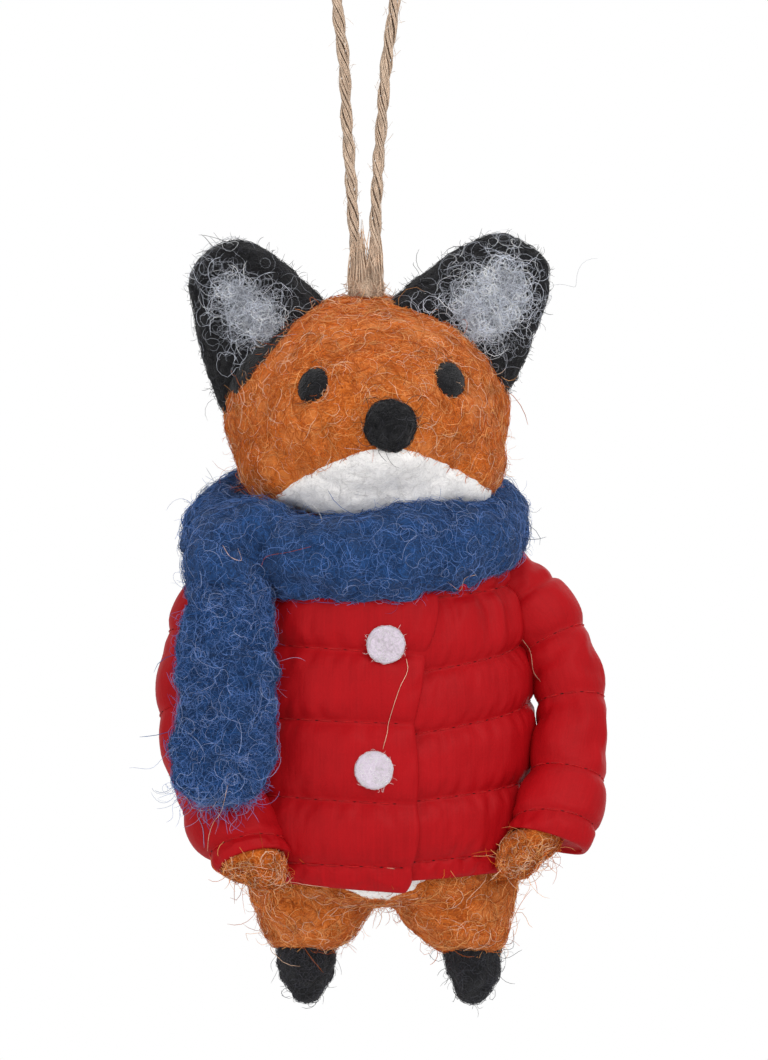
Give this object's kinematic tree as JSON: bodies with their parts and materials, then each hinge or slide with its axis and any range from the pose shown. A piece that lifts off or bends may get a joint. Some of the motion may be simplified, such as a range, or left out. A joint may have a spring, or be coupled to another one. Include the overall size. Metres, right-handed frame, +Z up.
{
  "type": "hanging felt fox ornament",
  "caption": "Felted wool fox that hangs from a twine loop, in a quilted jacket with felt buttons and a wrapped felt scarf, arms and scarf end free to move.",
  "frame": {"origin": "inside top of the twine loop, where a hook bears", "axes": "+Z up, from the fox to the hook; -Y the way the fox faces; +X the fox's own left"},
  "size_m": [0.0715, 0.063, 0.1689],
  "materials": {
    "orange_wool": "needle-felted wool, fibrous matt",
    "black_wool": "needle-felted wool, fibrous matt",
    "white_wool": "needle-felted wool, smooth matt",
    "pale_wool": "loose curled wool",
    "red_cotton": "quilted cotton, soft sheen",
    "blue_felt": "thick wool felt, matt",
    "white_felt": "punched wool felt, matt",
    "jute": "two-ply jute twine"
  },
  "bodies": {
    "twine": {"twine_loop": "jute"},
    "knot": {"twine_knot": "jute"},
    "fox": {"head": "orange_wool", "nose": "black_wool", "muzzle": "white_wool", "left_eye": "black_wool", "right_eye": "black_wool", "left_ear": "black_wool", "right_ear": "black_wool", "left_ear_tuft": "pale_wool", "right_ear_tuft": "pale_wool", "torso": "orange_wool", "belly_patch": "white_wool", "tail": "orange_wool", "tail_tip": "white_wool", "jacket_right_front": "red_cotton", "jacket_left_front": "red_cotton", "jacket_back": "red_cotton", "top_button": "white_felt", "bottom_button": "white_felt", "left_leg": "orange_wool", "left_foot": "black_wool", "right_leg": "orange_wool", "right_foot": "black_wool", "scarf_wrap": "blue_felt"},
    "left_arm": {"left_arm": "orange_wool", "left_sleeve": "red_cotton"},
    "right_arm": {"right_arm": "orange_wool", "right_sleeve": "red_cotton"},
    "scarf_end": {"scarf_end": "blue_felt"}
  },
  "joints": [
    {"name": "loop_swing", "type": "hinge", "parent": "twine", "child": "knot", "pos_m": [0, 0, -0.0526], "axis": [1, 0, 0], "range_deg": [-60, 60]},
    {"name": "loop_turn", "type": "hinge", "parent": "knot", "child": "fox", "pos_m": [0, 0, -0.0526], "axis": [0, 0, 1], "range_deg": [-180, 180]},
    {"name": "left_arm_lift", "type": "hinge", "parent": "fox", "child": "left_arm", "pos_m": [0.024, 0.0012, -0.102], "axis": [0, -1, 0], "range_deg": [0, 25]},
    {"name": "right_arm_lift", "type": "hinge", "parent": "fox", "child": "right_arm", "pos_m": [-0.0204, 0.0012, -0.102], "axis": [0, 1, 0], "range_deg": [0, 25]},
    {"name": "scarf_end_lift", "type": "hinge", "parent": "fox", "child": "scarf_end", "pos_m": [-0.0224, -0.0182, -0.1035], "axis": [-1, 0, 0], "range_deg": [0, 60]}
  ]
}
